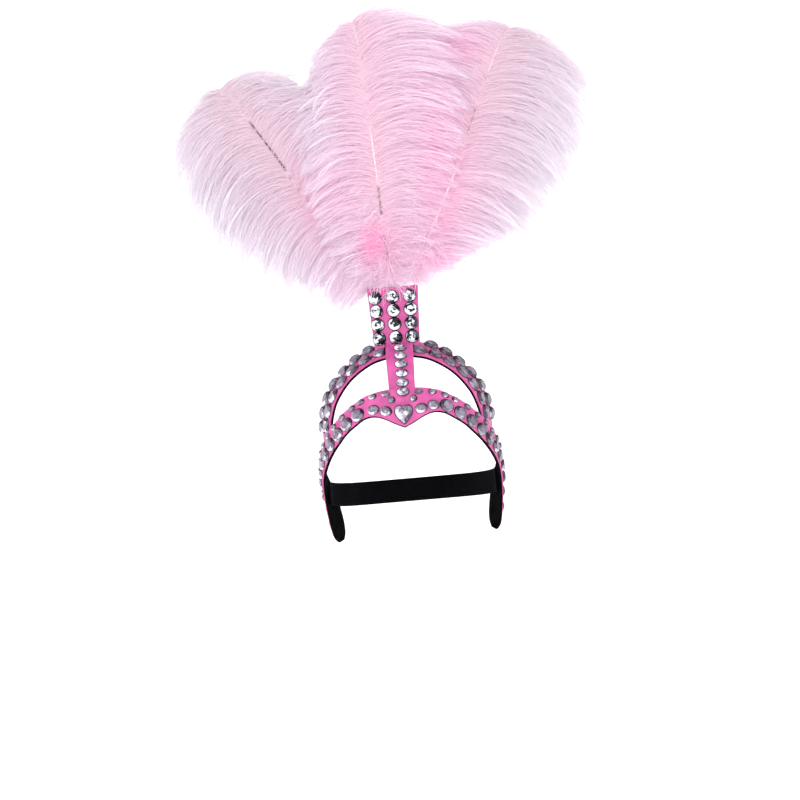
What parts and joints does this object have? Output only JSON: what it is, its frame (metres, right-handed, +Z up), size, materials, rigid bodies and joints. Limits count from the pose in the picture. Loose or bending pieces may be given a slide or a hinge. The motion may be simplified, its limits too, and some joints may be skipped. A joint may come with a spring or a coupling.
{
  "type": "carnival feather headdress",
  "caption": "Carnival headdress worn on the head: a pink fabric frame set with clear stones, tall curled plumes in an upright plate, and an elastic strap round the back.",
  "frame": {"origin": "the middle of the wearer's head at brow height, level with the point of the front band", "axes": "+Z up, the wearer looks along -Y, +X is at the viewer's right when seen from the front"},
  "size_m": [0.4246, 0.1819, 0.5461],
  "materials": {
    "pink_fabric": "shiny hot pink stretch fabric",
    "black_foam": "matt black foam sheet",
    "elastic_web": "black ribbed elastic",
    "clear_stone": "clear faceted acrylic with a foil back",
    "plume_pink": "soft pale pink ostrich plume"
  },
  "bodies": {
    "root": {"front_band_backing": "black_foam", "front_band_facing": "pink_fabric", "crown_arch_backing": "black_foam", "crown_arch_facing": "pink_fabric", "strap_backing": "black_foam", "strap_facing": "pink_fabric", "plate_backing": "black_foam", "plate_facing": "pink_fabric", "heart_stone": "clear_stone", "elastic_strap": "elastic_web", "plume_left": "plume_pink", "plume_centre": "plume_pink", "plume_right": "plume_pink", "plate_stone_1l": "clear_stone", "plate_stone_1c": "clear_stone", "plate_stone_1r": "clear_stone", "plate_stone_2l": "clear_stone", "plate_stone_2c": "clear_stone", "plate_stone_2r": "clear_stone", "plate_stone_3l": "clear_stone", "plate_stone_3c": "clear_stone", "plate_stone_3r": "clear_stone", "plate_stone_4l": "clear_stone", "plate_stone_4c": "clear_stone", "plate_stone_4r": "clear_stone", "strap_stone_1": "clear_stone", "strap_stone_2": "clear_stone", "strap_stone_3": "clear_stone", "strap_stone_4": "clear_stone", "strap_stone_5": "clear_stone", "strap_stone_6": "clear_stone"}
  },
  "joints": []
}
